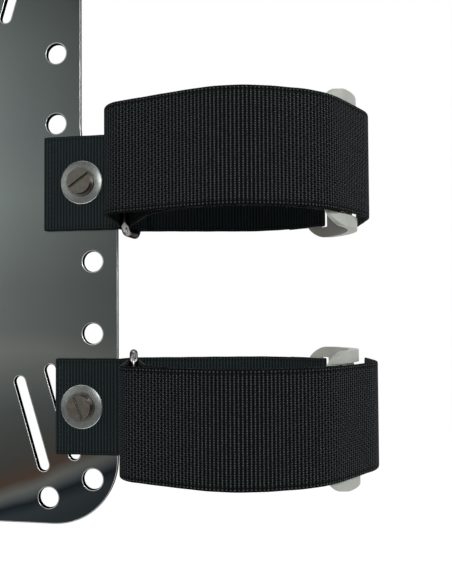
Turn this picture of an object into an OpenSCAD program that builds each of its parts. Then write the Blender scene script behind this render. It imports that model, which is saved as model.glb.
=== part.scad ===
// Gas cylinder bracket: a folded steel back plate that carries a small gas
// cylinder beside its edge in two webbing straps.
// X runs to the right, Y away from the viewer, Z up. The origin lies on the
// cylinder's axis, midway between the two straps.

/* [Gas cylinder] */
// Radius of the cylinder that the straps hold
gas_r = 46.5; // [44:0.5:49]
// Distance from the middle of one strap to the middle of the other
strap_spacing = 117.9; // [108:0.1:130]

/* [Webbing] */
// Width of the webbing
web_w = 50; // [46:0.5:52]
// Thickness of the webbing, over its ribs
web_t = 1.3; // [1.1:0.05:1.4]
// Distance from one rib of the weave to the next
rib_pitch = 1.7; // [1.4:0.1:3]
// Depth of the groove between two ribs
rib_depth = 0.25; // [0.1:0.05:0.35]
// Gap between two layers that lie on each other
layer_gap = 0.05; // [0.02:0.01:0.08]
// How far the cylinder presses into the layer that hugs it
press = 0.05; // [0.03:0.01:0.1]

/* [Hook and loop] */
// Thickness of one patch
nap_t = 0.5; // [0.4:0.05:0.7]
// Margin from a patch to the edge of the webbing
nap_margin = 2; // [1:0.5:6]
// Where both patches end, in degrees to each side of the front
nap_half_angle = 30; // [20:1:31]

/* [Wire ring] */
// Diameter of the wire
wire_d = 4.2; // [3.5:0.1:4.6]
// Distance between the two long bars of the ring, from middle to middle
ring_depth = 21.2; // [19:0.1:24]
// Radius of the ring's bends, on the middle of the wire
ring_bend_r = 5; // [3.5:0.5:8]
// Room between the webbing's edge and the end of the ring
ring_room = 0.6; // [0.3:0.1:2]
// Where the near bar stands in front of the plate's side of the cylinder
ring_near_y = 20; // [17:0.5:22]

/* [Buckle] */
// Height of the buckle
buckle_h = 62; // [59:0.5:66]
// Gap from the cylinder to the middle of the buckle
buckle_gap = 4; // [3.8:0.1:5]
// Thickness of the bars in the middle of the buckle
bar_t = 2.2; // [1.9:0.1:2.4]
// Thickness of the two end rails in the middle of the buckle
rail_t = 4.6; // [3:0.1:6]
// Thickness of the thin edge that slips between the layers
lip_t = 0.4; // [0.3:0.05:0.5]
// Radius of the buckle's corners
buckle_corner_r = 10; // [6:0.5:14]
// Width of each webbing slot
buckle_slot = 5; // [4.2:0.1:6]

/* [Back plate] */
// Thickness of the steel
plate_t = 3; // [2:0.1:4]
// Half the width of the plate below the flare
plate_half_w = 137.7; // [134:0.1:139]
// How much narrower each side is above the flare
flare_step = 20.2; // [10:0.1:24]
// Height of the plate
plate_h = 394; // [360:1:420]
// Distance from the lower screw down to the plate's bottom edge
plate_drop = 62.2; // [58:0.1:70]
// Turn of each wing towards the viewer, in degrees
wing_tilt = 10; // [6:0.5:12]
// Depth of the channel down the middle
channel_depth = 16; // [8:0.5:24]
// Half the width of the channel's floor
channel_half_w = 26; // [20:1:34]
// Radius of the bottom corners
corner_r = 35; // [25:1:45]
// Diameter of the holes along the edges
edge_hole_d = 10.8; // [10:0.1:12]
// Distance from one edge hole to the next
edge_pitch = 38.1; // [36:0.1:38.5]
// Diameter of the two tank bolt holes
tank_hole_d = 8.8; // [8:0.1:10]
// Distance between the tank bolt holes
tank_pitch = 279.4; // [250:0.1:290]
// Width of the strap slots
slot_w = 5.9; // [4:0.1:7]
// Length of the strap slots
slot_l = 52; // [48:0.5:56]
// Lean of the waist slots from upright, in degrees
slot_lean = 17; // [10:1:22]

/* [Eyelet and screw] */
// Diameter of the eyelet's flange
eyelet_d = 23; // [20:0.5:25]
// Diameter of the hole through the eyelet
eyelet_bore = 11.2; // [11:0.1:12]
// Height of the eyelet's dome
eyelet_dome = 1.2; // [0.8:0.1:1.6]
// Diameter of the screw's slotted head
head_d = 12.8; // [12:0.1:14]
// Height of the screw's slotted head
head_h = 2.6; // [2:0.1:3.5]
// Diameter of the collar under the head
collar_d = 15; // [14:0.1:17]
// Height of the collar
collar_h = 1.2; // [0.8:0.1:1.8]
// Diameter of the screw's shank
shank_d = 6; // [5:0.5:6.5]
// Diameter of the nut's barrel, which fills the hole in the plate
barrel_d = 10.4; // [9.4:0.1:10.6]
// Diameter of the nut's flange
flange_d = 18; // [16:0.5:20]
// Thickness of the washer behind the plate
washer_t = 1; // [0.8:0.1:1.6]

/* [Hidden] */
$fn = 96;

// Colours
steel = "#5c6361";
bright_steel = "#b9bdbc";
nickel = "#6f7170";
webbing = "#15191a";
nap = "#202425";
moulding = "#9a9d9a";

// The two straps: upper is 0, lower is 1
UPPER = 0;
LOWER = 1;
strap_z = [strap_spacing / 2, -strap_spacing / 2];
// The ring's near bar, the way its far bar lies from it, and the outer layer's bulge at the right
near_bar_x = [-gas_r - 12.5, -gas_r - 8];
ring_turn = [79.5, 97.3];
bulge_centre = [[gas_r - 10.5, 3], [gas_r - 8.5, 5]];
bulge_room = [6.6, 10.1];
tail_y = 30;
// Left end of each tab, from its screw, and the turn of each screw's slot
tab_reach = [21.5, 15];
driver_angle = [35, -68];
// Turn of a bend from one point of its outline to the next, in degrees
step = 3;

// A path is a list of pulleys [x, y, q]. A strap runs from one to the next along
// their common tangents. It turns left round a pulley of positive radius q and
// right round one of negative q, and q is zero at its two ends.
function wrap(a) = a - 360 * floor(a / 360);
function heading(a, b) =
    atan2(b.y - a.y, b.x - a.x) + asin((a.z - b.z) / norm([b.x - a.x, b.y - a.y]));
function touch(p, h) = [p.x + p.z * sin(h), p.y - p.z * cos(h)];
function sweep(q, h0, h1) = q > 0 ? wrap(h1 - h0) : -wrap(h0 - h1);

// A piece of a path: an arc [centre, radius, first heading, sweep] or a straight
// run, which is [start, 0, heading, length]
function run(path, i) = let (h = heading(path[i], path[i + 1]),
    a = touch(path[i], h), b = touch(path[i + 1], h)) [a, 0, h, norm(b - a)];
function arc(path, i) = let (h0 = heading(path[i - 1], path[i]), h1 = heading(path[i], path[i + 1]))
    [[path[i].x, path[i].y], path[i].z, h0, sweep(path[i].z, h0, h1)];
function pieces(path) = [for (i = [0 : len(path) - 2]) each
    i == 0 ? [run(path, i)] : [arc(path, i), run(path, i)]];
function piece_length(s) = s[1] == 0 ? s[3] : abs(s[1] * s[3]) * PI / 180;
function station(s, f) = s[1] == 0
    ? [s[0].x + f * s[3] * cos(s[2]), s[0].y + f * s[3] * sin(s[2]), s[2]]
    : let (h = s[2] + f * s[3]) [s[0].x + s[1] * sin(h), s[0].y - s[1] * cos(h), h];
function beside(p, d) = [p.x - d * sin(p.z), p.y + d * cos(p.z)];
function reversed(list) = [for (i = [len(list) - 1 : -1 : 0]) list[i]];

// Points along one side of a piece, d to the left of its middle
function smooth_side(s, d) = let (n = s[1] == 0 ? 1 : max(2, ceil(abs(s[3]) / (abs(s[1]) > 20 ? step : 4 * step))))
    [for (k = [0 : n - 1]) beside(station(s, k / n), d)];
function path_end(all, d) = [beside(station(all[len(all) - 1], 1), d)];
// The same with the grooves of the weave cut into it
rib_land = [0.22, 0.78];
function ribbed_side(s, d) = let (n = max(1, round(piece_length(s) / rib_pitch)), groove = d - sign(d) * rib_depth)
    [for (k = [0 : n - 1]) each [beside(station(s, k / n), groove),
        beside(station(s, (k + rib_land[0]) / n), d), beside(station(s, (k + rib_land[1]) / n), d)]];

// The cross-section of a strip of thickness t along a path. The pieces from first
// to last have ribs on the left where rib_side is 1, and on the right where it is -1.
module strip_section(path, t, rib_side = 0, first = 0, last = -1) {
    all = pieces(path);
    side = rib_side == 0 ? 1 : rib_side;
    shown = [for (i = [0 : len(all) - 1]) each
        (rib_side != 0 && i >= first && i <= last) ? ribbed_side(all[i], side * t / 2) : smooth_side(all[i], side * t / 2)];
    hidden = [for (s = all) each smooth_side(s, -side * t / 2)];
    polygon(concat(shown, path_end(all, side * t / 2), path_end(all, -side * t / 2), reversed(hidden)));
}

// A point on a circle round the cylinder's axis, by its angle to the right of the front
function round_gas(r, front_angle) = [r * sin(front_angle), -r * cos(front_angle)];
function pulley(p, q) = [p.x, p.y, q];
axis_point = [0, 0];

// ---- Buckle outline ----
// The inner face is an arc from edge to edge of the buckle, clear of the layer on the cylinder
buckle_edge_angle = 47;
buckle_edge = round_gas(gas_r + web_t + 2 * layer_gap, buckle_edge_angle);
function arc_r(mid_x, edge) = (pow(edge.y, 2) + pow(mid_x - edge.x, 2)) / (2 * (mid_x - edge.x));
inner_x = gas_r + buckle_gap;
inner_r = arc_r(inner_x, buckle_edge);
lip_edge = buckle_edge + lip_t * round_gas(1, buckle_edge_angle);
bar_r = arc_r(inner_x + bar_t, lip_edge);
rail_r = arc_r(inner_x + rail_t, lip_edge);
// The slots stand this many degrees off the middle of the inner arc
slot_angle = 35;
slot_half_angle = buckle_slot / 2 / inner_r * 180 / PI;
// The webbing folds round the edge bar at its rim, beside the slot
rim_angle = slot_angle + slot_half_angle;
inner_centre_x = inner_x - inner_r;
bar_offset = inner_x + bar_t - bar_r - inner_centre_x;
rim_t = bar_offset * cos(rim_angle) + sqrt(pow(bar_r, 2) - pow(bar_offset * sin(rim_angle), 2)) - inner_r;
function rim_point(r) = [inner_centre_x + r * cos(rim_angle), r * sin(rim_angle)];
rim = rim_point(inner_r + rim_t / 2);
// The bar bulges this far beyond a straight strand laid from its lip to its rim
rim_chord = norm(rim_point(inner_r + rim_t) - [lip_edge.x, -lip_edge.y]);
bar_bulge = bar_r - sqrt(pow(bar_r, 2) - pow(rim_chord / 2, 2));

// ---- Paths of the webbing ----
half_t = web_t / 2;
hug_q = gas_r + half_t - press;
fold_q = norm(lip_edge) + layer_gap + half_t;
outer_q = gas_r + web_t + 2 * nap_t + 2 * layer_gap + half_t;
rim_q = rim_t / 2 + bar_bulge + layer_gap + half_t;
wire_q = wire_d / 2 + layer_gap + half_t;
fold_end_angle = nap_half_angle + 3;
// The outer layer clears the fold round the buckle's rim as it leaves the front
crown_q = 40;
crown_reach = norm(rim) + rim_q + web_t + 2 * layer_gap - crown_q;
crown_centre = crown_reach / norm(rim) * [rim.x, -rim.y];
left_corner_r = 11;
left_corner_y = -13;
// How far the outer layer leans in from the ring to its front left corner
left_lean = [-1, 1.7];
// The outer layer stands this far to the right, past the buckle's rails
function bulge_x(i) = inner_x + rail_t + bulge_room[i];

function near_bar(i) = [near_bar_x[i], ring_near_y];
function far_bar(i) = near_bar(i) + ring_depth * [cos(ring_turn[i]), sin(ring_turn[i])];

function strap_path(i) = [
    pulley(round_gas(fold_q + 0.1, fold_end_angle), 0),
    pulley(axis_point, fold_q),
    pulley([rim.x, -rim.y], rim_q),
    pulley(axis_point, -hug_q),
    pulley(near_bar(i), wire_q),
    pulley([near_bar_x[i] - wire_q + left_corner_r + left_lean[i], left_corner_y], left_corner_r),
    pulley(axis_point, outer_q),
    pulley(crown_centre, crown_q),
    pulley(bulge_centre[i], bulge_x(i) - bulge_centre[i].x - half_t),
    [bulge_x(i) - half_t, tail_y, 0]];
// The outer layer starts with the piece that folds round the ring
strap_rib_first = 7;

// ---- Wing of the plate: x along it, y up, z off its front face ----
screw_at = [-gas_r - 36.5, 36];
module on_wing(z) {
    translate([screw_at.x, screw_at.y, z]) rotate([0, 0, -wing_tilt]) rotate([90, 0, 0]) children();
}
function wing_point(u, w) = [screw_at.x + u * cos(wing_tilt) - w * sin(wing_tilt),
    screw_at.y - u * sin(wing_tilt) - w * cos(wing_tilt)];
edge_u = 19;
edge_round = 1.4;
back_layer_w = layer_gap + half_t;
front_layer_w = back_layer_w + web_t + layer_gap;
tab_top_w = front_layer_w + half_t;
turn_q = (front_layer_w - back_layer_w) / 2;

function tab_turn(i) = wing_point(-tab_reach[i] + turn_q + half_t, (front_layer_w + back_layer_w) / 2);
function anchor_path(i) = let (edge = wing_point(edge_u - edge_round, -edge_round)) [
    pulley(far_bar(i) + [5, wire_q - web_t - layer_gap], 0),
    pulley(far_bar(i), -wire_q),
    pulley(edge, -edge_round - front_layer_w),
    pulley(tab_turn(i), -turn_q),
    pulley(edge, edge_round + back_layer_w),
    pulley(far_bar(i), -wire_q),
    pulley(axis_point, -hug_q),
    pulley(rim, rim_q),
    pulley(axis_point, fold_q),
    pulley(round_gas(fold_q + 0.1, 180 - fold_end_angle), 0)];

module webbing_strip(path, rib_side, first, last) {
    difference() {
        linear_extrude(web_w, center = true) strip_section(path, web_t, rib_side, first, last);
        cylinder(r = gas_r, h = 2 * web_w, center = true);
    }
}

module strap(i) {
    color(webbing) translate([0, 0, strap_z[i]])
        webbing_strip(strap_path(i), -1, strap_rib_first, 2 * len(strap_path(i)) - 4);
}

module anchor_web(i) {
    color(webbing) difference() {
        translate([0, 0, strap_z[i]]) webbing_strip(anchor_path(i), 1, 0, 6);
        on_wing(strap_z[i]) {
            cylinder(d = eyelet_sleeve_d + 2 * layer_gap, h = 4 * tab_top_w, center = true);
            cylinder(d = eyelet_d, h = backing_t + layer_gap);
        }
    }
}

// ---- Hook and loop ----
module patch(i, r) {
    translate([0, 0, strap_z[i]]) rotate([0, 0, -90 - nap_half_angle]) rotate_extrude(angle = 2 * nap_half_angle)
        translate([r, nap_margin - web_w / 2]) square([nap_t, web_w - 2 * nap_margin]);
}

module loop_patch(i) {
    color(nap) patch(i, gas_r + web_t);
}

module hook_patch(i) {
    color(nap) patch(i, gas_r + web_t + nap_t + layer_gap);
}

// ---- Wire ring ----
module wire_ring(i) {
    half_depth = ring_depth / 2;
    half_h = web_w / 2 + ring_room + wire_d / 2;
    color(bright_steel) translate([near_bar_x[i], ring_near_y, strap_z[i]]) rotate([0, 0, ring_turn[i]])
        translate([half_depth, 0, 0]) {
            for (side = [-1, 1]) {
                translate([side * half_depth, 0, 0]) cylinder(d = wire_d, h = 2 * (half_h - ring_bend_r), center = true);
                translate([0, 0, side * half_h]) rotate([0, 90, 0])
                    cylinder(d = wire_d, h = 2 * (half_depth - ring_bend_r), center = true);
            }
            for (quarter = [0 : 3])
                translate([(quarter == 0 || quarter == 3 ? 1 : -1) * (half_depth - ring_bend_r), 0,
                    (quarter < 2 ? 1 : -1) * (half_h - ring_bend_r)])
                    rotate([90, 0, 0]) rotate([0, 0, quarter * 90]) rotate_extrude(angle = 90)
                        translate([ring_bend_r, 0]) circle(d = wire_d);
        }
}

// ---- Buckle ----
module arc_plate(outer_x, outer_r, h) {
    difference() {
        translate([outer_x - outer_r, 0, 0]) cylinder(r = outer_r, h = h, center = true);
        translate([inner_x - inner_r, 0, 0]) cylinder(r = inner_r, h = h + 1, center = true);
        translate([buckle_edge.x - 2 * inner_r, 0, 0]) cube([4 * inner_r, 4 * inner_r, h + 1], center = true);
    }
}
module rounded_rectangle(size, r) {
    square([size.x - 2 * r, size.y], center = true);
    square([size.x, size.y - 2 * r], center = true);
    for (x = [-1, 1], y = [-1, 1]) translate([x * (size.x / 2 - r), y * (size.y / 2 - r)]) circle(r);
}

module buckle(i) {
    inside_h = web_w + 2 * ring_room;
    rail_h = (buckle_h - inside_h) / 2;
    color(moulding) translate([0, 0, strap_z[i]]) intersection() {
        difference() {
            union() {
                arc_plate(inner_x + bar_t, bar_r, buckle_h);
                for (side = [-1, 1]) translate([0, 0, side * (buckle_h - rail_h) / 2])
                    arc_plate(inner_x + rail_t, rail_r, rail_h);
            }
            for (side = [-1, 1]) translate([inner_x - inner_r, 0, 0]) rotate([0, 0, side * slot_angle])
                translate([inner_r, 0, 0]) cube([4 * rail_t, buckle_slot, inside_h], center = true);
        }
        rotate([90, 0, 90]) linear_extrude(2 * inner_x)
            rounded_rectangle([2 * (-lip_edge.y), buckle_h], buckle_corner_r);
    }
}

// ---- Eyelet, screw and nut, all on the wing's screw holes ----
eyelet_sleeve_d = eyelet_bore + 1.2;
backing_t = 0.6;
rolled_rim = 0.35;
module eyelet(i) {
    dome = [for (k = [0 : 6]) let (f = k / 6, r = eyelet_sleeve_d / 2 + f * (eyelet_d - eyelet_sleeve_d) / 2)
        [r, tab_top_w + layer_gap + rolled_rim + (eyelet_dome - rolled_rim) * (1 - f * f)]];
    color(bright_steel) on_wing(strap_z[i]) rotate_extrude() polygon(concat(
        [[eyelet_bore / 2, layer_gap], [eyelet_bore / 2, tab_top_w + layer_gap + eyelet_dome]],
        dome, [[eyelet_d / 2, tab_top_w + layer_gap], [eyelet_sleeve_d / 2, tab_top_w + layer_gap],
        [eyelet_sleeve_d / 2, layer_gap]]));
}

module tube(outer_d, inner_d, z, h) {
    translate([0, 0, z]) difference() {
        cylinder(d = outer_d, h = h);
        translate([0, 0, -1]) cylinder(d = inner_d, h = h + 2);
    }
}

module eyelet_washer(i) {
    color(bright_steel) on_wing(strap_z[i])
        tube(eyelet_d - 1, eyelet_sleeve_d + layer_gap, layer_gap, backing_t - layer_gap);
}

head_seat_w = tab_top_w + 2 * layer_gap + eyelet_dome;
nut_back_w = -plate_t - washer_t - 2 * layer_gap;
flange_t = 2;
driver_slot = [2, 1.5];
module screw(i) {
    color(nickel) on_wing(strap_z[i]) difference() {
        union() {
            translate([0, 0, head_seat_w]) cylinder(d = collar_d, h = collar_h);
            translate([0, 0, head_seat_w + collar_h]) cylinder(d = head_d, h = head_h);
            translate([0, 0, nut_back_w - flange_t]) cylinder(d = shank_d, h = head_seat_w - nut_back_w + flange_t);
        }
        translate([0, 0, head_seat_w + collar_h + head_h]) rotate([0, 0, driver_angle[i]])
            cube([2 * head_d, driver_slot[0], 2 * driver_slot[1]], center = true);
    }
}

module plate_washer(i) {
    color(bright_steel) on_wing(strap_z[i])
        tube(flange_d, barrel_d + 2 * layer_gap, -plate_t - layer_gap - washer_t, washer_t);
}

module barrel_nut(i) {
    color(nickel) on_wing(strap_z[i]) difference() {
        union() {
            translate([0, 0, nut_back_w]) cylinder(d = barrel_d, h = tab_top_w - nut_back_w);
            translate([0, 0, nut_back_w - flange_t]) cylinder(d = flange_d, h = flange_t);
        }
        translate([0, 0, nut_back_w - flange_t - 1]) cylinder(d = shank_d + 2 * layer_gap, h = 4 * flange_d);
    }
}

// ---- Back plate ----
plate_bottom = strap_z[LOWER] - plate_drop;
plate_top = plate_bottom + plate_h;
middle_x = wing_point(edge_u, 0).x - plate_half_w;
bend_r = 6;
wing_u = 93;
top_corner_r = 60;
flare_r = 30;
flare_z = strap_z[UPPER] + 5;
flare_h = 52;
upper_column_u = -15.5;
lower_column_u = 5;
corner_hole = [-19.6, plate_bottom + 13.7];
// Where the upper column starts above the upper screw, in pitches
upper_column_start = 0.86;
// Middle of each strap slot: two at the waist from the lower screw, two at the shoulder from the top
waist_slots = [[-29.2, -9.5], [-11.9, -3.2]];
shoulder_slots = [[-55, -105], [-38, -99]];

module mirrored() {
    children();
    translate([2 * middle_x, 0, 0]) mirror([1, 0, 0]) children();
}

function mirror_image(p) = [2 * middle_x - p.x, p.y, p.z];

// Middle of the sheet from its right edge to its left edge
function fold_path() = let (
    edge = pulley(wing_point(edge_u, -plate_t / 2), 0),
    bend_at = wing_point(edge_u - wing_u, -plate_t / 2),
    bend = pulley(bend_at + [0, bend_r], -bend_r),
    floor_bend = [middle_x + channel_half_w, bend_at.y + channel_depth - bend_r, bend_r])
    [edge, bend, floor_bend, mirror_image(floor_bend), mirror_image(bend), mirror_image(edge)];

// Right-hand outline, seen from the front, from the bottom middle to the top middle
function outline_path() = let (low_x = middle_x + plate_half_w, high_x = low_x - flare_step) [
    pulley([middle_x, plate_bottom], 0),
    pulley([low_x - corner_r, plate_bottom + corner_r], corner_r),
    pulley([low_x - flare_r, flare_z - flare_h / 2], flare_r),
    pulley([high_x + flare_r, flare_z + flare_h / 2], -flare_r),
    pulley([high_x - top_corner_r, plate_top - top_corner_r], top_corner_r),
    [middle_x, plate_top, 0]];

module slot(at, lean) {
    translate([at.x, at.y, 0]) rotate([0, 0, lean]) {
        cube([slot_w, slot_l - slot_w, 4 * plate_t], center = true);
        for (end = [-1, 1]) translate([0, end * (slot_l - slot_w) / 2, 0])
            cylinder(d = slot_w, h = 4 * plate_t, center = true);
    }
}

module wing_holes() {
    on_wing(0) {
        for (z = strap_z) translate([0, z, 0]) cylinder(d = edge_hole_d, h = 4 * plate_t, center = true);
        for (k = [-1, 1, 2]) translate([lower_column_u, strap_z[LOWER] + k * edge_pitch, 0])
            cylinder(d = edge_hole_d, h = 4 * plate_t, center = true);
        for (k = [0 : 3]) translate([upper_column_u, strap_z[UPPER] + (k + upper_column_start) * edge_pitch, 0])
            cylinder(d = edge_hole_d, h = 4 * plate_t, center = true);
        translate([corner_hole.x, corner_hole.y, 0]) cylinder(d = edge_hole_d, h = 4 * plate_t, center = true);
        for (at = waist_slots) slot([at.x, strap_z[LOWER] + at.y], slot_lean);
        for (at = shoulder_slots) slot([at.x, plate_top + at.y], -slot_lean);
    }
}

module back_plate() {
    right = [for (s = pieces(outline_path())) each smooth_side(s, 0)];
    left = [for (p = reversed(right)) [2 * middle_x - p.x, p.y]];
    color(steel) difference() {
        intersection() {
            translate([0, 0, plate_bottom - 1]) linear_extrude(plate_h + 2)
                strip_section(fold_path(), plate_t);
            translate([0, plate_h, 0]) rotate([90, 0, 0]) linear_extrude(plate_h)
                polygon(concat(right, [for (p = left) if (abs(p.x - middle_x) > 1) p]));
        }
        mirrored() wing_holes();
        for (z = [-0.5, 0.5] * tank_pitch) translate([middle_x, 0, (plate_bottom + plate_top) / 2 + z])
            rotate([-90, 0, 0]) cylinder(d = tank_hole_d, h = plate_h);
    }
}

back_plate();
strap(UPPER);  // upper_strap
strap(LOWER);  // lower_strap
anchor_web(UPPER);  // upper_anchor_web
anchor_web(LOWER);  // lower_anchor_web
loop_patch(UPPER);  // upper_loop_patch
loop_patch(LOWER);  // lower_loop_patch
hook_patch(UPPER);  // upper_hook_patch
hook_patch(LOWER);  // lower_hook_patch
wire_ring(UPPER);  // upper_wire_ring
wire_ring(LOWER);  // lower_wire_ring
buckle(UPPER);  // upper_buckle
buckle(LOWER);  // lower_buckle
eyelet(UPPER);  // upper_eyelet
eyelet(LOWER);  // lower_eyelet
eyelet_washer(UPPER);  // upper_eyelet_washer
eyelet_washer(LOWER);  // lower_eyelet_washer
screw(UPPER);  // upper_screw
screw(LOWER);  // lower_screw
plate_washer(UPPER);  // upper_plate_washer
plate_washer(LOWER);  // lower_plate_washer
barrel_nut(UPPER);  // upper_barrel_nut
barrel_nut(LOWER);  // lower_barrel_nut
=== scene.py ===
import math
import random

import bmesh
import bpy
from mathutils import Matrix, Vector


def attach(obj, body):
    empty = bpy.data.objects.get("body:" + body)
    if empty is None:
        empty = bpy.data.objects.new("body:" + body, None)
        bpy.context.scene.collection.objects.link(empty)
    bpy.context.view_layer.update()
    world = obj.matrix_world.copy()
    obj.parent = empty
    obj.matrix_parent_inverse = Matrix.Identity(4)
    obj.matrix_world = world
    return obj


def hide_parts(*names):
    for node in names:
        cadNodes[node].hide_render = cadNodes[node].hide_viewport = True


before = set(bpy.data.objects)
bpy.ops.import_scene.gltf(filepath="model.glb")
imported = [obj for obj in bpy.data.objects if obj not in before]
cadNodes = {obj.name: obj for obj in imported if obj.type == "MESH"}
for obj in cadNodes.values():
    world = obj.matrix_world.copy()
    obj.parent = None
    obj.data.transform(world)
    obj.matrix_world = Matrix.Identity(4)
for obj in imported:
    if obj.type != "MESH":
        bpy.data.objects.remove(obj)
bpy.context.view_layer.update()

mm = 0.001
strapNames = ["upper", "lower"]


def linearColour(hexText):
    channels = [int(hexText[i:i + 2], 16) / 255 for i in (1, 3, 5)]
    return [c / 12.92 if c <= 0.04045 else ((c + 0.055) / 1.055) ** 2.4 for c in channels] + [1.0]


def addNode(tree, kind, inputs=None, stops=None, **settings):
    # an input given as a node or an output is linked, and any other is set on the socket itself
    node = tree.nodes.new("ShaderNode" + kind)
    for name, value in settings.items():
        setattr(node, name, value)
    for socket, value in (inputs or {}).items():
        if isinstance(value, bpy.types.Node):
            value = value.outputs[0]
        if isinstance(value, bpy.types.NodeSocket):
            tree.links.new(value, node.inputs[socket])
        else:
            node.inputs[socket].default_value = value
    if stops:
        elements = node.color_ramp.elements
        while len(elements) < len(stops):
            elements.new(0.5)
        for element, (place, colour) in zip(elements, stops):
            element.position = place
            element.color = linearColour(colour)
    return node


def newMaterial(name):
    material = bpy.data.materials.new(name)
    material.use_nodes = True
    material.node_tree.nodes.clear()
    return material, material.node_tree


def backdropRays(tree):
    # rays that see the white backdrop: from the camera, in a mirror and through glass
    rays = addNode(tree, "LightPath")
    kinds = ("Camera", "Glossy", "Transmission")
    direct, mirrored, refracted = [rays.outputs[f"Is {kind} Ray"] for kind in kinds]
    indirect = addNode(tree, "Math", {0: mirrored, 1: refracted}, operation="MAXIMUM")
    return addNode(tree, "Math", {0: direct, 1: indirect}, operation="MAXIMUM")


camera = {
    "place": (-0.00738, -0.348, -0.0118),
    "lens": 44.77,
    "clipStart": 0.01,
    "turnLeft": 0.04,
    "tiltUp": 1.86,
    "roll": -0.39,
}
cameraData = bpy.data.cameras.new("camera")
cameraData.lens = camera["lens"]
cameraData.clip_start = camera["clipStart"]
cameraObject = bpy.data.objects.new("camera", cameraData)
bpy.context.scene.collection.objects.link(cameraObject)
cameraObject.matrix_world = (
    Matrix.Translation(camera["place"])
    @ Matrix.Rotation(math.radians(camera["turnLeft"]), 4, "Z")
    @ Matrix.Rotation(math.radians(90 + camera["tiltUp"]), 4, "X")
    @ Matrix.Rotation(math.radians(camera["roll"]), 4, "Z"))
bpy.context.scene.camera = cameraObject
bpy.context.scene.view_settings.view_transform = "Standard"

studio = {
    "lampsAimAt": (-0.05, 0.0, 0.0),
    "lamps": {  # name: place, size across, power in watts
        "keySoftbox": ((0.02, -1.4, 0.42), 0.24, 15),
        "fillSoftbox": ((-1.1, -0.6, 0.3), 0.8, 4),
        "rightSoftbox": ((1.2, -0.3, 0.5), 0.9, 8),
        "backSoftbox": ((-0.3, 1.0, 0.9), 0.8, 6),
    },
    "roomColour": "#e8eaec",
    "roomStrength": 0.36,
    "floorColour": "#f4f4f2",
    "floorRoughness": 0.9,
    "floorGlow": 0.7,  # only for rays that see the backdrop
    "floorSize": 8,
    "floorHeight": -0.75,
}
for lampName, (place, across, power) in studio["lamps"].items():
    lampData = bpy.data.lights.new(lampName, "AREA")
    lampData.size = across
    lampData.energy = power
    lamp = bpy.data.objects.new(lampName, lampData)
    lamp.location = place
    lamp.rotation_euler = (Vector(studio["lampsAimAt"]) - Vector(place)).to_track_quat("-Z", "Y").to_euler()
    bpy.context.scene.collection.objects.link(lamp)

world = bpy.data.worlds.new("paleStudio")
bpy.context.scene.world = world
world.use_nodes = True
worldTree = world.node_tree
worldTree.nodes.clear()
roomLight = addNode(worldTree, "Background", {
    "Color": linearColour(studio["roomColour"]), "Strength": studio["roomStrength"]})
whiteBackdrop = addNode(worldTree, "Background", {"Color": (1, 1, 1, 1), "Strength": 1.0})
roomOrBackdrop = addNode(worldTree, "MixShader", {0: backdropRays(worldTree), 1: roomLight, 2: whiteBackdrop})
addNode(worldTree, "OutputWorld", {0: roomOrBackdrop})

# Pale floor well below the plate, which hangs from its tank bolts
bpy.ops.mesh.primitive_plane_add(size=studio["floorSize"], location=(0, 0, studio["floorHeight"]))
floor = bpy.context.object
floor.name = "floor"
floorMaterial, floorTree = newMaterial("matt white paint")
floorPaint = addNode(floorTree, "BsdfPrincipled", {
    "Base Color": linearColour(studio["floorColour"]), "Roughness": studio["floorRoughness"]})
floorStrength = addNode(floorTree, "Math", {0: backdropRays(floorTree), 1: studio["floorGlow"]},
                        operation="MULTIPLY")
floorGlow = addNode(floorTree, "Emission", {"Color": (1, 1, 1, 1), "Strength": floorStrength})
floorSurface = addNode(floorTree, "AddShader", {0: floorPaint, 1: floorGlow})
addNode(floorTree, "OutputMaterial", {0: floorSurface})
floor.data.materials.append(floorMaterial)
print("stage: camera, lamps and floor")


# Lengths of the weave in millimetres: ribs cross the webbing, and the yarn snakes along each rib
weave = {
    "ribPitch": 1.7,
    "ribDepth": 0.36,
    "ribFullness": 0.6,  # below 1, the rib is broad and its groove narrow
    "snakePitch": 2.0,
    "strapSwing": [0.05, 0.2],  # share of a rib, at the front and at the sides
    "tabSwing": [0.07, 0.07],
    "swingFrom": [0.012, 0.042],  # metres to the side of the cylinder's axis
    "yarnWave": 0.1,
    "bumpDepth": 0.3,
    "bumpStrength": 0.85,
    "fuzzPitch": 0.476,
    "fuzzGlintSpread": [0.5, 0.72],  # how much the fuzz noise varies the painted glint, and the least of it
    "selvedge": 23.3,  # from the middle line to the line of the edge yarn
    "selvedgeWidth": 0.7,
    "selvedgeShade": 0.25,
    # painted shade on the folded edge, which the lamps light
    "foldFrom": 24.5,
    "paintedFoldShade": 0.5,
    "roughness": 0.55,
    "specular": 0.03,
    # painted glint and shade: colours from the groove to the crown of a rib, near black in the groove and
    # bright on the crown
    "strapPaintedGlintAndShade": [(0.3, "#020303"), (0.64, "#050606"), (0.84, "#171a1b"), (1.0, "#515758")],
    "tabPaintedGlintAndShade": [(0.3, "#0d1111"), (0.62, "#131919"), (0.82, "#1b2223"), (1.0, "#2d3537")],
}


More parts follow.
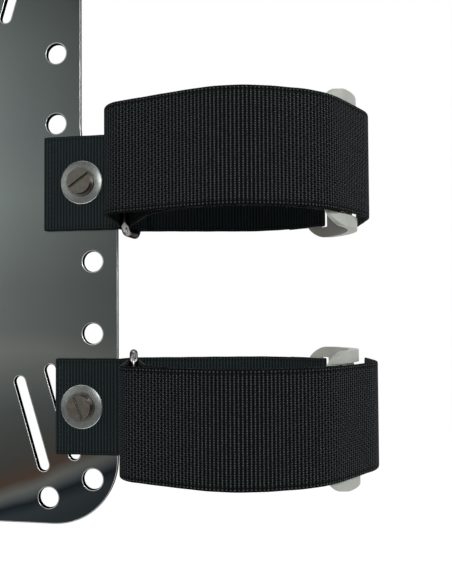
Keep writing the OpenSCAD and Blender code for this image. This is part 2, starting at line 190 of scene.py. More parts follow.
def nylonWebbing(name, shades, swings):
    # woven nylon: painted shade makes the grooves dull black, and a painted glint runs broken along the crown
    # of each rib
    material, tree = newMaterial(name)
    weaveUv = addNode(tree, "UVMap", uv_map="weave")
    place = addNode(tree, "SeparateXYZ", {0: weaveUv})
    along, across = place.outputs[0], place.outputs[1]
    objectAxes = addNode(tree, "SeparateXYZ", {0: addNode(tree, "TexCoord").outputs["Object"]})

    # where a point lies on its rib, once the yarn has snaked to one side or the other
    rib = addNode(tree, "Math", {0: along, 1: weave["ribPitch"]}, operation="DIVIDE")
    ribNumber = addNode(tree, "Math", {0: rib}, operation="FLOOR")
    everyOther = addNode(tree, "Math", {0: ribNumber, 1: 2.0}, operation="MODULO")
    opposite = addNode(tree, "Math", {0: everyOther, 1: math.pi}, operation="MULTIPLY")
    snakeTurn = addNode(tree, "Math", {0: across, 1: math.tau / weave["snakePitch"], 2: opposite},
                        operation="MULTIPLY_ADD")
    snake = addNode(tree, "Math", {0: snakeTurn}, operation="SINE")
    # painted light: the swing grows from the front of the cylinder to its sides, so that the painted glint
    # runs straight at the front and breaks into a zigzag at the sides
    sideways = addNode(tree, "Math", {0: objectAxes.outputs[0]}, operation="ABSOLUTE")
    swing = addNode(tree, "MapRange", {
        0: sideways, 1: weave["swingFrom"][0], 2: weave["swingFrom"][1], 3: swings[0], 4: swings[1]})
    ribShare = addNode(tree, "Math", {0: rib}, operation="FRACT")
    shifted = addNode(tree, "Math", {0: snake, 1: swing, 2: ribShare}, operation="MULTIPLY_ADD")

    # height of the yarn, from 0 in the groove to 1 on the crown
    fromCrown = addNode(tree, "Math", {0: shifted, 1: 2.0, 2: -1.0}, operation="MULTIPLY_ADD")
    fallen = addNode(tree, "Math", {0: fromCrown, 1: fromCrown}, operation="MULTIPLY")
    crown = addNode(tree, "Math", {0: 1.0, 1: fallen}, operation="SUBTRACT", use_clamp=True)
    yarnTurn = addNode(tree, "Math", {0: across, 1: 2 * math.tau / weave["snakePitch"]}, operation="MULTIPLY")
    yarnSwell = addNode(tree, "Math", {0: yarnTurn}, operation="COSINE")
    yarnHeight = addNode(tree, "Math", {0: yarnSwell, 1: weave["yarnWave"], 2: 1 - weave["yarnWave"]},
                         operation="MULTIPLY_ADD")
    yarn = addNode(tree, "Math", {0: crown, 1: yarnHeight}, operation="MULTIPLY")

    # painted light and shade: fuzz noise makes the painted glint on the crowns uneven, the edge yarn is
    # darker, and the folded edge gets painted shade
    fuzz = addNode(tree, "TexNoise", {"Vector": weaveUv, "Scale": 1 / weave["fuzzPitch"], "Detail": 3.0})
    glintUnevenness = addNode(tree, "Math", {0: fuzz, 1: weave["fuzzGlintSpread"][0], 2: weave["fuzzGlintSpread"][1]},
                   operation="MULTIPLY_ADD")
    fromMiddle = addNode(tree, "Math", {0: across}, operation="ABSOLUTE")
    seam = addNode(tree, "Math", {0: fromMiddle, 1: weave["selvedge"], 2: weave["selvedgeWidth"] / 2},
                   operation="COMPARE")
    # painted shade on the folded edge
    fold = addNode(tree, "Math", {0: fromMiddle, 1: weave["foldFrom"]}, operation="GREATER_THAN")
    paintedFoldShade = addNode(tree, "Math", {0: fold, 1: -weave["paintedFoldShade"], 2: 1.0}, operation="MULTIPLY_ADD")
    edgeShade = addNode(tree, "Math", {0: seam, 1: -weave["selvedgeShade"], 2: paintedFoldShade},
                        operation="MULTIPLY_ADD")
    unevenPaintedGlint = addNode(tree, "Math", {0: yarn, 1: glintUnevenness}, operation="MULTIPLY")
    paintedLightLevel = addNode(tree, "Math", {0: unevenPaintedGlint, 1: edgeShade}, operation="MULTIPLY")
    bump = addNode(tree, "Bump", {
        "Height": yarn, "Distance": weave["bumpDepth"] * mm, "Strength": weave["bumpStrength"]})
    # the base colour carries the painted shade in the grooves and the painted glint on the crowns
    shader = addNode(tree, "BsdfPrincipled", {
        "Base Color": addNode(tree, "ValToRGB", {0: paintedLightLevel}, shades),
        "Roughness": weave["roughness"], "Specular IOR Level": weave["specular"], "Normal": bump})
    addNode(tree, "OutputMaterial", {0: shader})
    return material


# Pile, with lengths in millimetres
pile = {"loopPitch": 0.833, "loopDepth": 0.3, "shades": [(0.0, "#1d2122"), (0.8, "#0b0d0d")],
        "roughness": 0.9, "specular": 0.15}


def hookAndLoopPile():
    # nylon pile: short stiff loops that scatter light, drawn a little coarse so that they show
    material, tree = newMaterial("nylon pile")
    coords = addNode(tree, "TexCoord").outputs["Object"]
    loops = addNode(tree, "TexVoronoi", {"Vector": coords, "Scale": 1 / (pile["loopPitch"] * mm)})
    bump = addNode(tree, "Bump", {
        "Height": loops.outputs["Distance"], "Distance": pile["loopDepth"] * mm, "Strength": 1.0})
    shader = addNode(tree, "BsdfPrincipled", {
        "Base Color": addNode(tree, "ValToRGB", {0: loops.outputs["Distance"]}, pile["shades"]),
        "Roughness": pile["roughness"], "Specular IOR Level": pile["specular"], "Normal": bump})
    addNode(tree, "OutputMaterial", {0: shader})
    return material


# Painted reflections on the plate, in bands from its bottom edge up, with lengths in metres
platePaintedReflectionsAndGrain = {
    "bottom": -0.1214,
    "middleX": -0.202,
    "rise": 0.36,  # slope of the painted reflection bands towards each side edge
    "riseFrom": 0.087,  # from the middle
    "riseEnds": [0.045, 0.09],  # heights between which the slope dies away
    "span": 0.3,  # height that the stops cover
    # painted shade towards the side edges and the top corners
    "edgeFrom": [0.1, 0.137],
    "edgeShade": 0.78,
    "cornerSlope": 1.5,
    "cornerFrom": [0.32, 0.36],
    "paintedCornerShade": 0.6,
    "cloudSize": 62.5 * mm,
    "drift": 0.014,  # how far the clouds shift a band
    "grainLength": 16.7 * mm,
    "grainWidth": 0.385 * mm,  # coarser than a real drawn grain, so that it shows
    "grainDepth": 0.003 * mm,
    "grainStrength": 0.6,
    "roughness": 0.24,
    # colours of the painted reflection bands, from the bottom edge up
    "stops": [
        (0.0, "#262b2e"), (0.025, "#2b3033"), (0.044, "#181d22"), (0.056, "#434747"), (0.068, "#575955"),
        (0.088, "#42352e"), (0.12, "#393835"), (0.2, "#3f4342"), (0.3, "#595c59"), (0.34, "#4e5250"),
        (0.42, "#4c504f"), (0.58, "#555b59"), (0.7, "#4e5352"), (0.85, "#474c4a"), (1.0, "#3a3f3d")],
}


def polishedStainless():
    # polished stainless sheet: a dim mirror with painted reflections of the room as soft bands, painted shade
    # towards its side edges and top corners, and a faint drawn grain
    material, tree = newMaterial("polished stainless sheet")
    coords = addNode(tree, "TexCoord").outputs["Object"]
    axes = addNode(tree, "SeparateXYZ", {0: coords})
    height = addNode(tree, "Math", {0: axes.outputs[2], 1: platePaintedReflectionsAndGrain["bottom"]}, operation="SUBTRACT")
    fromMiddleX = addNode(tree, "Math", {0: axes.outputs[0], 1: platePaintedReflectionsAndGrain["middleX"]}, operation="SUBTRACT")
    fromMiddle = addNode(tree, "Math", {0: fromMiddleX}, operation="ABSOLUTE")

    # the painted reflection bands rise towards the side edges near the bottom, and wander a little
    pastFlat = addNode(tree, "Math", {0: fromMiddle, 1: platePaintedReflectionsAndGrain["riseFrom"]}, operation="SUBTRACT")
    rise = addNode(tree, "Math", {0: pastFlat, 1: platePaintedReflectionsAndGrain["rise"]}, operation="MULTIPLY")
    riseShare = addNode(tree, "MapRange", {
        0: height, 1: platePaintedReflectionsAndGrain["riseEnds"][0], 2: platePaintedReflectionsAndGrain["riseEnds"][1], 3: 1.0, 4: 0.0})
    risen = addNode(tree, "Math", {0: rise, 1: riseShare}, operation="MULTIPLY")
    clouds = addNode(tree, "TexNoise", {
        "Vector": coords, "Scale": 1 / platePaintedReflectionsAndGrain["cloudSize"], "Detail": 2.0})
    drift = addNode(tree, "Math", {0: clouds, 1: platePaintedReflectionsAndGrain["drift"], 2: -platePaintedReflectionsAndGrain["drift"] / 2},
                    operation="MULTIPLY_ADD")
    lowered = addNode(tree, "Math", {0: height, 1: risen}, operation="SUBTRACT")
    level = addNode(tree, "Math", {0: lowered, 1: drift}, operation="ADD")
    levelShare = addNode(tree, "Math", {0: level, 1: platePaintedReflectionsAndGrain["span"]}, operation="DIVIDE")

    # painted shade: the sheet darkens towards its side edges and towards its top corners
    edgeShade = addNode(tree, "MapRange", {
        0: fromMiddle, 1: platePaintedReflectionsAndGrain["edgeFrom"][0], 2: platePaintedReflectionsAndGrain["edgeFrom"][1],
        3: 1.0, 4: platePaintedReflectionsAndGrain["edgeShade"]})
    cornerward = addNode(tree, "Math", {0: fromMiddle, 1: platePaintedReflectionsAndGrain["cornerSlope"], 2: axes.outputs[2]},
                         operation="MULTIPLY_ADD")
    paintedCornerShade = addNode(tree, "MapRange", {
        0: cornerward, 1: platePaintedReflectionsAndGrain["cornerFrom"][0], 2: platePaintedReflectionsAndGrain["cornerFrom"][1],
        3: 1.0, 4: platePaintedReflectionsAndGrain["paintedCornerShade"]})
    shade = addNode(tree, "Math", {0: edgeShade, 1: paintedCornerShade}, operation="MULTIPLY")
    paintedReflectionBands = addNode(tree, "ValToRGB", {0: levelShare}, platePaintedReflectionsAndGrain["stops"])
    paintedReflectionsWithShade = addNode(tree, "HueSaturation", {"Value": shade, "Color": paintedReflectionBands})

    stretched = addNode(tree, "Mapping", {0: coords, "Scale": (
        1 / platePaintedReflectionsAndGrain["grainLength"], 1 / platePaintedReflectionsAndGrain["grainLength"], 1 / platePaintedReflectionsAndGrain["grainWidth"])})
    grain = addNode(tree, "TexNoise", {"Vector": stretched, "Scale": 1.0, "Detail": 1.0})
    bump = addNode(tree, "Bump", {
        "Height": grain, "Distance": platePaintedReflectionsAndGrain["grainDepth"], "Strength": platePaintedReflectionsAndGrain["grainStrength"]})
    shader = addNode(tree, "BsdfPrincipled", {
        "Base Color": paintedReflectionsWithShade, "Metallic": 1.0, "Roughness": platePaintedReflectionsAndGrain["roughness"], "Normal": bump})
    addNode(tree, "OutputMaterial", {0: shader})
    return material


# Bare metals, each clouding between two colours, with sizes in millimetres
metals = {
    "stainless plate rim with painted highlight": {  # painted highlight: a pale copy of the stainless, bright along every cut
        "dark": "#7f8280", "pale": "#9fa19f", "roughness": 0.36, "cloudSize": 11.1, "grainDepth": 0.002},
    "stainless wall with painted shade": {  # rough from the punch, with painted shade: near black, so it reads as a dark line round each hole
        "dark": "#0a0b0c", "pale": "#151718", "roughness": 0.5, "cloudSize": 3.33, "grainDepth": 0.01,
        "grazingPaintedShade": "#16181a"},
    "drawn stainless wire": {  # smooth, with a narrow glint, and painted shade on its sides from a dark tint at grazing angles
        "dark": "#777573", "pale": "#9a9896", "roughness": 0.2, "cloudSize": 8.33, "grainDepth": 0.003,
        "grazingPaintedShade": "#141312"},
    "satin stainless pressing": {  # tumbled to an even, soft grey
        "dark": "#4d504e", "pale": "#595c5a", "roughness": 0.34, "cloudSize": 1.43, "grainDepth": 0.006},
    "stainless eyelet rim with painted highlight": {  # rolled edge with a painted highlight: a pale copy of the stainless, bright as a thin ring
        "dark": "#9fa2a0", "pale": "#cfd1cf", "roughness": 0.2, "cloudSize": 2.5, "grainDepth": 0.003},
    "nickel plated steel": {  # warmer than the stainless round it
        "dark": "#494642", "pale": "#54514b", "roughness": 0.28, "cloudSize": 2.0, "grainDepth": 0.006},
}


def metalFinish(name):
    finish = metals[name]
    material, tree = newMaterial(name)
    coords = addNode(tree, "TexCoord").outputs["Object"]
    clouds = addNode(tree, "TexNoise", {
        "Vector": coords, "Scale": 1 / (finish["cloudSize"] * mm), "Detail": 4.0})
    shades = addNode(tree, "ValToRGB", {0: clouds}, [(0.35, finish["dark"]), (0.65, finish["pale"])])
    bump = addNode(tree, "Bump", {"Height": clouds, "Distance": finish["grainDepth"] * mm, "Strength": 0.5})
    # a grazing tint, where one is given, darkens the reflection at grazing angles: painted shade
    shader = addNode(tree, "BsdfPrincipled", {
        "Base Color": shades, "Metallic": 1.0, "Roughness": finish["roughness"],
        "Specular Tint": linearColour(finish.get("grazingPaintedShade", "#ffffff")), "Normal": bump})
    addNode(tree, "OutputMaterial", {0: shader})
    return material


# Buckle moulding, with lengths in millimetres
moulding = {"cloudSize": 16.7, "shades": [(0.3, "#868a83"), (0.7, "#969a93")],
            "grainSize": 0.4, "grainDepth": 0.03, "roughness": 0.42, "subsurface": 0.05}


def mouldedNylon():
    # moulded grey nylon: faintly cloudy, with a fine spark-eroded grain
    material, tree = newMaterial("moulded grey nylon")
    coords = addNode(tree, "TexCoord").outputs["Object"]
    clouds = addNode(tree, "TexNoise", {
        "Vector": coords, "Scale": 1 / (moulding["cloudSize"] * mm), "Detail": 3.0})
    grain = addNode(tree, "TexNoise", {
        "Vector": coords, "Scale": 1 / (moulding["grainSize"] * mm), "Detail": 1.0})
    bump = addNode(tree, "Bump", {"Height": grain, "Distance": moulding["grainDepth"] * mm, "Strength": 0.5})
    shader = addNode(tree, "BsdfPrincipled", {
        "Base Color": addNode(tree, "ValToRGB", {0: clouds}, moulding["shades"]),
        "Roughness": moulding["roughness"], "Subsurface Weight": moulding["subsurface"], "Normal": bump})
    addNode(tree, "OutputMaterial", {0: shader})
    return material


# Thread, with its ply size in millimetres, drawn a little coarse so that it shows
thread = {"plySize": 0.417, "shades": [(0.3, "#0b0e0e"), (0.7, "#15191a")],
          "roughness": 0.5, "specular": 0.15}


def bondedThread():
    # bonded polyester thread: black with a slight gloss
    material, tree = newMaterial("bonded thread")
    coords = addNode(tree, "TexCoord").outputs["Object"]
    plies = addNode(tree, "TexNoise", {
        "Vector": coords, "Scale": 1 / (thread["plySize"] * mm), "Detail": 1.0})
    shader = addNode(tree, "BsdfPrincipled", {
        "Base Color": addNode(tree, "ValToRGB", {0: plies}, thread["shades"]),
        "Roughness": thread["roughness"], "Specular IOR Level": thread["specular"]})
    addNode(tree, "OutputMaterial", {0: shader})
    return material


strapMaterial = nylonWebbing("woven black nylon", weave["strapPaintedGlintAndShade"], weave["strapSwing"])
tabMaterial = nylonWebbing("close woven black nylon", weave["tabPaintedGlintAndShade"], weave["tabSwing"])
pileMaterial = hookAndLoopPile()
plateMaterial = polishedStainless()
plateRimMaterial = metalFinish("stainless plate rim with painted highlight")
plateWallMaterial = metalFinish("stainless wall with painted shade")
wireMaterial = metalFinish("drawn stainless wire")
eyeletMaterial = metalFinish("satin stainless pressing")
eyeletRimMaterial = metalFinish("stainless eyelet rim with painted highlight")
screwMaterial = metalFinish("nickel plated steel")
nylonMaterial = mouldedNylon()
threadMaterial = bondedThread()
print("stage: materials")


# Webbing, which follows the same pulleys as the solids (millimetres)
webbing = {
    "width": 50.0,
    "thickness": 1.3,
    "gap": 0.05,  # between layers
    "press": 0.05,  # into the cylinder's room
    "samplesPerRib": 4,  # cross sections along the webbing
    "rowSpacing": 3.0,
    "flatFrom": 1.4,  # distance from the edge
    "edgeRound": [(0.0, 0.3), (0.25, 0.72), (0.7, 0.94)],  # distance from the edge, share of the thickness
    "edgeWander": 0.12,
    "wanderLengths": [7.3, 2.9],
    "napLayers": 1.0,  # both patches together
    "strapStart": 33.0,  # degrees round the cylinder
    "anchorEnd": 147.0,
    "endLift": 0.1,  # of both ends at the buckle
    "tabEndPastBar": 5.0,  # where the tab webbing starts, past the far bar of the ring
}
gasRadius = 46.5
strapCentres = [58.95, -58.95]
halfThickness = webbing["thickness"] / 2


def addPiece(name, built, material):
    mesh = bpy.data.meshes.new(name)
    built.to_mesh(mesh)
    built.free()
    mesh.materials.append(material)
    piece = bpy.data.objects.new(name, mesh)
    bpy.context.scene.collection.objects.link(piece)
    return piece


def roundGas(radius, frontAngle):
    angle = math.radians(frontAngle)
    return radius * math.sin(angle), -radius * math.cos(angle)


def headingBetween(a, b):
    # the straight run that touches both pulleys
    spanX, spanY = b[0] - a[0], b[1] - a[1]
    return math.atan2(spanY, spanX) + math.asin((a[2] - b[2]) / math.hypot(spanX, spanY))


def touchPoint(pulley, heading):
    # where a run with this heading leaves the pulley
    x, y, radius = pulley
    return x + radius * math.sin(heading), y - radius * math.cos(heading)


def pathPieces(pulleys):
    # arcs and straight runs: kind, pulley or start, heading, turn, length
    pieces = []
    lastHeading = None
    for a, b in zip(pulleys, pulleys[1:]):
        heading = headingBetween(a, b)
        if lastHeading is not None:
            turn = (heading - lastHeading) % math.tau if a[2] > 0 else -((lastHeading - heading) % math.tau)
            pieces.append(("arc", a, lastHeading, turn, abs(a[2] * turn)))
        start, end = touchPoint(a, heading), touchPoint(b, heading)
        pieces.append(("run", start, heading, 0.0, math.dist(start, end)))
        lastHeading = heading
    return pieces


def stationOn(piece, share):
    kind, start, heading, turn, length = piece
    if kind == "run":
        travelled = share * length
        return start[0] + travelled * math.cos(heading), start[1] + travelled * math.sin(heading), heading
    now = heading + share * turn
    return (*touchPoint(start, now), now)


def pathStations(pulleys, spacing):
    pieces = pathPieces(pulleys)
    total = sum(piece[4] for piece in pieces)
    count = round(total / spacing)
    stations = []
    index, before = 0, 0.0
    for k in range(count + 1):
        travelled = total * k / count
        while index < len(pieces) - 1 and travelled > before + pieces[index][4]:
            before += pieces[index][4]
            index += 1
        share = (travelled - before) / max(pieces[index][4], 1e-9)
        stations.append((*stationOn(pieces[index], min(share, 1.0)), travelled))
    return stations


def crossRows():
    # heights across the webbing, each with its share of the thickness
    half = webbing["width"] / 2
    flatHalf = half - webbing["flatFrom"]
    edge = [(half - inset, share) for inset, share in webbing["edgeRound"]]
    flat = round(2 * flatHalf / webbing["rowSpacing"])
    middle = [(-flatHalf + 2 * flatHalf * k / flat, 1.0) for k in range(flat + 1)]
    return [(-z, share) for z, share in edge] + middle + list(reversed(edge))


def weaveFace(built, weaveMap, corners, smooth):
    face = built.faces.new([vertex for vertex, travelled, z in corners])
    face.smooth = smooth
    for loop, (vertex, travelled, z) in zip(face.loops, corners):
        loop[weaveMap].uv = (travelled, z)


def weaveStrip(name, pulleys, centreZ, material):
    stations = pathStations(pulleys, weave["ribPitch"] / webbing["samplesPerRib"])
    rows = crossRows()
    longWave, shortWave = webbing["wanderLengths"]
    built = bmesh.new()
    weaveMap = built.loops.layers.uv.new("weave")
    rings = []
    for x, y, heading, travelled in stations:
        phase = travelled / weave["ribPitch"] % 1.0
        groove = weave["ribDepth"] * (1 - math.sin(math.pi * phase) ** weave["ribFullness"])
        waves = math.sin(travelled / longWave + centreZ) * math.sin(travelled / shortWave)
        ring = []
        for side in (1, -1):
            for z, share in (rows if side == 1 else reversed(rows)):
                off = side * (halfThickness - groove) * share
                edgeLean = webbing["edgeWander"] * waves * abs(z) / webbing["width"]
                place = (x - off * math.sin(heading), y + off * math.cos(heading), centreZ + z + edgeLean)
                ring.append((built.verts.new(Vector(place) * mm), travelled, z))
        rings.append(ring)
    count = len(rings[0])
    for near, far in zip(rings, rings[1:]):
        for k in range(count):
            nextK = (k + 1) % count
            weaveFace(built, weaveMap, [near[k], near[nextK], far[nextK], far[k]], True)
    for ring in (rings[0], rings[-1]):
        for k in range(count // 2 - 1):
            back = count - 1 - k
            weaveFace(built, weaveMap, [ring[k], ring[k + 1], ring[back - 1], ring[back]], False)
    bmesh.ops.recalc_face_normals(built, faces=built.faces)
    print(f"  {name}: {stations[-1][3]:.0f} mm of webbing")
    return addPiece(name, built, material)


# What the straps run round, with the sizes of the solids, in millimetres and degrees.
# Where a value has a pair, the upper strap's comes first.
buckle = {"gap": 4.0, "bar": 2.2, "lip": 0.4, "edgeAngle": 47.0, "slotAngle": 35.0, "slot": 5.0}
wireRing = {
    "wire": 4.2,
    "depth": 21.2,
    "nearX": [-59.0, -54.5],
    "nearY": 20.0,
    "turn": [79.5, 97.3],
    "bend": 5.0,
    "halfHeight": 27.7,
    "bendSteps": 14,
    "roundSteps": 20,
}
outerLayer = {
    "cornerRadius": 16.0,
    "cornerY": [-14.0, -17.0],
    "lean": [-1.0, 1.7],
    "crownRadius": 40.0,
    "centre": [(36.0, 3.0), (38.0, 5.0)],
    "x": [61.7, 65.2],
    "tailY": 30.0,
}
# The plate's bent side, which carries the tabs
wing = {"screw": (-83.0, 36.0), "tilt": 10.0, "edge": 19.0, "round": 1.4, "reach": [21.5, 15.0]}


def arcRadius(middleX, edge):
    return (edge[1] ** 2 + (middleX - edge[0]) ** 2) / (2 * (middleX - edge[0]))


edgeRadius = gasRadius + webbing["thickness"] + 2 * webbing["gap"]
buckleEdge = roundGas(edgeRadius, buckle["edgeAngle"])
lipEdge = roundGas(edgeRadius + buckle["lip"], buckle["edgeAngle"])
innerX = gasRadius + buckle["gap"]
innerRadius = arcRadius(innerX, buckleEdge)
barRadius = arcRadius(innerX + buckle["bar"], lipEdge)
rimAngle = math.radians(buckle["slotAngle"]) + buckle["slot"] / 2 / innerRadius
barOffset = innerX + buckle["bar"] - barRadius - (innerX - innerRadius)
rimThickness = (barOffset * math.cos(rimAngle)
                + math.sqrt(barRadius ** 2 - (barOffset * math.sin(rimAngle)) ** 2) - innerRadius)


def rimPoint(radius):
    return innerX - innerRadius + radius * math.cos(rimAngle), radius * math.sin(rimAngle)


rim = rimPoint(innerRadius + rimThickness / 2)
rimChord = math.dist(rimPoint(innerRadius + rimThickness), (lipEdge[0], -lipEdge[1]))
barBulge = barRadius - math.sqrt(barRadius ** 2 - (rimChord / 2) ** 2)
hugRadius = gasRadius + halfThickness - webbing["press"]
foldRadius = math.hypot(*lipEdge) + webbing["gap"] + halfThickness
outerRadius = gasRadius + webbing["thickness"] + webbing["napLayers"] + 2 * webbing["gap"] + halfThickness
rimFold = rimThickness / 2 + barBulge + webbing["gap"] + halfThickness
wireFold = wireRing["wire"] / 2 + webbing["gap"] + halfThickness
rimReach = math.hypot(*rim)
crownReach = rimReach + rimFold + webbing["thickness"] + 2 * webbing["gap"] - outerLayer["crownRadius"]
crown = (crownReach * rim[0] / rimReach, -crownReach * rim[1] / rimReach)
backLayer = webbing["gap"] + halfThickness
frontLayer = backLayer + webbing["thickness"] + webbing["gap"]
tabTop = frontLayer + halfThickness
turnRadius = (frontLayer - backLayer) / 2


def ringPoint(i, u, across):
    # u runs from the ring's near bar to its far bar
    turn = math.radians(wireRing["turn"][i])
    return (wireRing["nearX"][i] + u * math.cos(turn) - across * math.sin(turn),
            wireRing["nearY"] + u * math.sin(turn) + across * math.cos(turn))


def wingPoint(u, w):
    # u runs towards the plate's edge from the screws, and w out of its front
    tilt = math.radians(wing["tilt"])
    return (wing["screw"][0] + u * math.cos(tilt) - w * math.sin(tilt),
            wing["screw"][1] - u * math.sin(tilt) - w * math.cos(tilt))


def strapPulleys(i):
    # (x, y, radius), which is negative where the webbing passes on the other side
    nearX, nearY = wireRing["nearX"][i], wireRing["nearY"]
    centre = outerLayer["centre"][i]
    corner = outerLayer["cornerRadius"]
    return [
        (*roundGas(foldRadius + webbing["endLift"], webbing["strapStart"]), 0),
        (0, 0, foldRadius),
        (rim[0], -rim[1], rimFold),
        (0, 0, -hugRadius),
        (nearX, nearY, wireFold),
        (nearX - wireFold + corner + outerLayer["lean"][i], outerLayer["cornerY"][i], corner),
        (0, 0, outerRadius),
        (*crown, outerLayer["crownRadius"]),
        (*centre, outerLayer["x"][i] - centre[0] - halfThickness),
        (outerLayer["x"][i] - halfThickness, outerLayer["tailY"], 0)]


def anchorPulleys(i):
    edge = wingPoint(wing["edge"] - wing["round"], -wing["round"])
    bar = ringPoint(i, wireRing["depth"], 0)
    tabTurn = wingPoint(-wing["reach"][i] + turnRadius + halfThickness, (frontLayer + backLayer) / 2)
    return [
        (bar[0] + webbing["tabEndPastBar"], bar[1] + wireFold - webbing["thickness"] - webbing["gap"], 0),
        (*bar, -wireFold),
        (*edge, -wing["round"] - frontLayer),
        (*tabTurn, -turnRadius),
        (*edge, wing["round"] + backLayer),
        (*bar, -wireFold),
        (0, 0, -hugRadius),
        (*rim, rimFold),
        (0, 0, foldRadius),
        (*roundGas(foldRadius + webbing["endLift"], webbing["anchorEnd"]), 0)]


for i, which in enumerate(strapNames):
    strap = weaveStrip(f"{which}StrapWebbing", strapPulleys(i), strapCentres[i], strapMaterial)
    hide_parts(f"{which}_strap")
    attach(strap, "root")
    anchor = weaveStrip(f"{which}AnchorWebbing", anchorPulleys(i), strapCentres[i], tabMaterial)
    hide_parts(f"{which}_anchor_web")
    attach(anchor, "root")
print("stage: webbing")


def ringOfWire(i, name):
    # one closed length of round wire with four bends
    built = bmesh.new()
    bend, halfDepth = wireRing["bend"], wireRing["depth"] / 2
    flatU, flatZ = halfDepth - bend, wireRing["halfHeight"] - bend
    sections = []
    for corner, (signU, signZ) in enumerate([(1, 1), (-1, 1), (-1, -1), (1, -1)]):
        for k in range(wireRing["bendSteps"] + 1):
            out = math.radians(90 * (corner + k / wireRing["bendSteps"]))
            section = []
            for step in range(wireRing["roundSteps"]):
                around = math.tau * step / wireRing["roundSteps"]
                reach = bend + wireRing["wire"] / 2 * math.cos(around)
                x, y = ringPoint(i, halfDepth + signU * flatU + reach * math.cos(out),
                                 wireRing["wire"] / 2 * math.sin(around))
                z = strapCentres[i] + signZ * flatZ + reach * math.sin(out)
                section.append(built.verts.new(Vector((x, y, z)) * mm))
            sections.append(section)
    for near, far in zip(sections, sections[1:] + sections[:1]):
        for k in range(len(near)):
            nextK = (k + 1) % len(near)
            built.faces.new([near[k], near[nextK], far[nextK], far[k]]).smooth = True
    bmesh.ops.recalc_face_normals(built, faces=built.faces)
    return addPiece(name, built, wireMaterial)


for i, which in enumerate(strapNames):
    ring = ringOfWire(i, f"{which}RingOfWire")
    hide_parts(f"{which}_wire_ring")
    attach(ring, "root")
print("stage: wire rings")


# Rows of stitches near the folded end of each tab, by their distance from that end, in millimetres
stitching = {"rows": [3.4, 7.2], "pitch": 2.7, "length": 2.1, "thread": 0.55, "sunk": 0.12, "margin": 2.2}


def tabStitches(i, name):
    built = bmesh.new()
    half = webbing["width"] / 2 - stitching["margin"]
    halfThread = stitching["thread"] / 2 * mm
    for fromEnd in stitching["rows"]:
        x, y = wingPoint(-wing["reach"][i] + fromEnd, tabTop - stitching["sunk"])
        for k in range(int(2 * half / stitching["pitch"]) + 1):
            z = strapCentres[i] - half + k * stitching["pitch"]
            made = bmesh.ops.create_icosphere(built, subdivisions=2, radius=1.0)["verts"]
            shape = (Matrix.Translation(Vector((x, y, z)) * mm)
                     @ Matrix.Diagonal((halfThread, halfThread, stitching["length"] / 2 * mm, 1.0)))
            bmesh.ops.transform(built, matrix=shape, verts=made)
    for face in built.faces:
        face.smooth = True
    return addPiece(name, built, threadMaterial)


for i, which in enumerate(strapNames):
    stitches = tabStitches(i, f"{which}TabStitches")
    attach(stitches, "root")
print("stage: stitching")


# Hook and loop patches, sewn between the layers of each strap: a backing with a nap on one face (millimetres)
patch = {
    "width": 46.0,
    "thickness": 0.5,
    "halfAngle": 30.0,
    "loopRadius": 47.8,
    "hookRadius": 48.35,
    "steps": 110,
    "rows": 74,
    "nap": 0.12,
    "seed": 5,
}


def napPatch(name, radius, centreZ, napOutside):
    napRandom = random.Random(patch["seed"])
    steps, rows = patch["steps"], patch["rows"]
    built = bmesh.new()
    sheets = []
    for side in (0, 1):
        grid = []
        for k in range(steps + 1):
            angle = -patch["halfAngle"] + 2 * patch["halfAngle"] * k / steps
            line = []
            for j in range(rows + 1):
                out = radius + patch["thickness"] * side
                if bool(side) == napOutside:
                    out += napRandom.uniform(0, patch["nap"]) * (-1 if side else 1)
                x, y = roundGas(out, angle)
                z = centreZ + patch["width"] * (j / rows - 0.5)
                line.append(built.verts.new(Vector((x, y, z)) * mm))
            grid.append(line)
        sheets.append(grid)
        for near, far in zip(grid, grid[1:]):
            for j in range(rows):
                built.faces.new([near[j], near[j + 1], far[j + 1], far[j]]).smooth = True
    inner, outer = sheets
    around = ([(k, 0) for k in range(steps)] + [(steps, j) for j in range(rows)]
              + [(k, rows) for k in range(steps, 0, -1)] + [(0, j) for j in range(rows, 0, -1)])
    for (k, j), (nextK, nextJ) in zip(around, around[1:] + around[:1]):
        built.faces.new([inner[k][j], inner[nextK][nextJ], outer[nextK][nextJ], outer[k][j]])
    bmesh.ops.recalc_face_normals(built, faces=built.faces)
    return addPiece(name, built, pileMaterial)


for i, which in enumerate(strapNames):
    loopPatch = napPatch(f"{which}LoopPatch", patch["loopRadius"], strapCentres[i], True)
    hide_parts(f"{which}_loop_patch")
    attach(loopPatch, "root")
    hookPatch = napPatch(f"{which}HookPatch", patch["hookRadius"], strapCentres[i], False)
    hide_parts(f"{which}_hook_patch")
    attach(hookPatch, "root")
print("stage: hook and loop patches")


# The plate is a merged copy of its solid, so that its flat faces are whole and its cuts have their own
# materials: a painted highlight on the rim and painted shade in the wall
plateFinish = {
    "merge": 0.01,
    "flatWithin": 0.4,  # degrees
    "sharpFrom": 35.0,
    "rim": 0.62,
    "rimSteps": 3,
    # the rim's painted highlight reaches this many degrees from the flat face; beyond it, painted shade
    "paintedHighlightWithin": 30.0,
}


def sheetRegions(mesh, sharpFrom):
    # areas of faces that meet at less than the sharp angle, largest first
    built = bmesh.new()
    built.from_mesh(mesh)
    regions = []
    waiting = set(built.faces)
    while waiting:
        reached = [waiting.pop()]
        region = []
        while reached:
            face = reached.pop()
            region.append(face)
            for edge in face.edges:
                if len(edge.link_faces) == 2 and edge.calc_face_angle() < math.radians(sharpFrom):
                    for neighbour in edge.link_faces:
                        if neighbour in waiting:
                            waiting.remove(neighbour)
                            reached.append(neighbour)
        regions.append((sum(face.calc_area() for face in region), [face.index for face in region]))
    built.free()
    return [indices for area, indices in sorted(regions, reverse=True)]


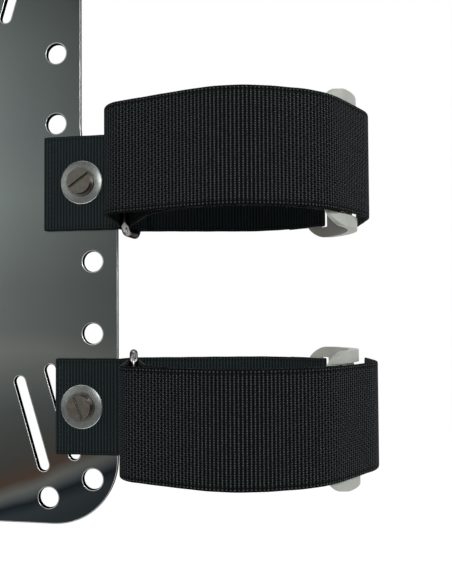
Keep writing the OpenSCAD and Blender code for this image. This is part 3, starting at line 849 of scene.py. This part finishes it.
def platePiece():
    plate = bpy.data.objects.new("plateSheet", cadNodes["back_plate"].data.copy())
    bpy.context.scene.collection.objects.link(plate)
    plate.data.materials.clear()
    for material in (plateMaterial, plateWallMaterial, plateRimMaterial):
        plate.data.materials.append(material)
    faceSlot, wallSlot, rimSlot = 0, 1, 2
    bpy.ops.object.select_all(action="DESELECT")
    plate.select_set(True)
    bpy.context.view_layer.objects.active = plate
    bpy.ops.object.mode_set(mode="EDIT")
    bpy.ops.mesh.select_all(action="SELECT")
    bpy.ops.mesh.remove_doubles(threshold=plateFinish["merge"] * mm)
    bpy.ops.mesh.dissolve_limited(angle_limit=math.radians(plateFinish["flatWithin"]))
    bpy.ops.object.mode_set(mode="OBJECT")
    for polygon in plate.data.polygons:
        polygon.material_index = faceSlot
    for region in sheetRegions(plate.data, plateFinish["sharpFrom"])[2:]:  # all but its front and back
        for index in region:
            plate.data.polygons[index].material_index = wallSlot
    bevel = plate.modifiers.new("rim", "BEVEL")
    bevel.width = plateFinish["rim"] * mm
    bevel.segments = plateFinish["rimSteps"]
    bevel.limit_method = "ANGLE"
    bevel.angle_limit = math.radians(plateFinish["sharpFrom"])
    bevel.material = rimSlot
    bevel.use_clamp_overlap = False
    bevel.harden_normals = True
    bpy.ops.object.shade_smooth()
    bpy.ops.object.modifier_apply(modifier="rim")
    paintedShadeFrom = math.cos(math.radians(plateFinish["paintedHighlightWithin"]))
    for polygon in plate.data.polygons:
        # painted highlight on the rim where it leaves the flat face, and painted shade as it turns into the
        # cut
        if polygon.material_index == rimSlot and abs(polygon.normal.y) < paintedShadeFrom:
            polygon.material_index = wallSlot
    flatten = plate.modifiers.new("flat faces", "WEIGHTED_NORMAL")
    flatten.mode = "FACE_AREA"
    flatten.weight = 100
    return plate


plateSheet = platePiece()
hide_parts("back_plate")
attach(plateSheet, "root")
print("stage: plate,", len(plateSheet.data.polygons), "faces")


# Solids that stay as they are: material, width of the edge bevel in millimetres, its steps and its material
hardware = {
    "buckle": (nylonMaterial, 0.5, 3, None),
    # the eyelet's bevelled edge gets the rim with a painted highlight
    "eyelet": (eyeletMaterial, 0.3, 3, eyeletRimMaterial),
    "eyelet_washer": (eyeletMaterial, 0.1, 2, None),
    "screw": (screwMaterial, 0.25, 3, None),
    "plate_washer": (eyeletMaterial, 0.1, 2, None),
    "barrel_nut": (screwMaterial, 0.2, 2, None),
}
hardwareEdges = {"sharpFrom": 35.0, "weld": 0.01}


def finishNode(node, material, bevelWidth, steps, edgeMaterial):
    for materialSlot in node.material_slots:
        materialSlot.material = material
    if not node.material_slots:
        node.data.materials.append(material)
    weld = node.modifiers.new("weld", "WELD")
    weld.merge_threshold = hardwareEdges["weld"] * mm
    bevel = node.modifiers.new("edges", "BEVEL")
    bevel.width = bevelWidth * mm
    bevel.segments = steps
    bevel.limit_method = "ANGLE"
    bevel.angle_limit = math.radians(hardwareEdges["sharpFrom"])
    bevel.harden_normals = True
    weighted = node.modifiers.new("flat faces", "WEIGHTED_NORMAL")
    weighted.keep_sharp = True
    if edgeMaterial:
        node.data.materials.append(edgeMaterial)
        bevel.material = len(node.material_slots) - 1


for which in strapNames:
    for kind, finish in hardware.items():
        finishNode(cadNodes[f"{which}_{kind}"], *finish)
print("stage: finish of the solids")
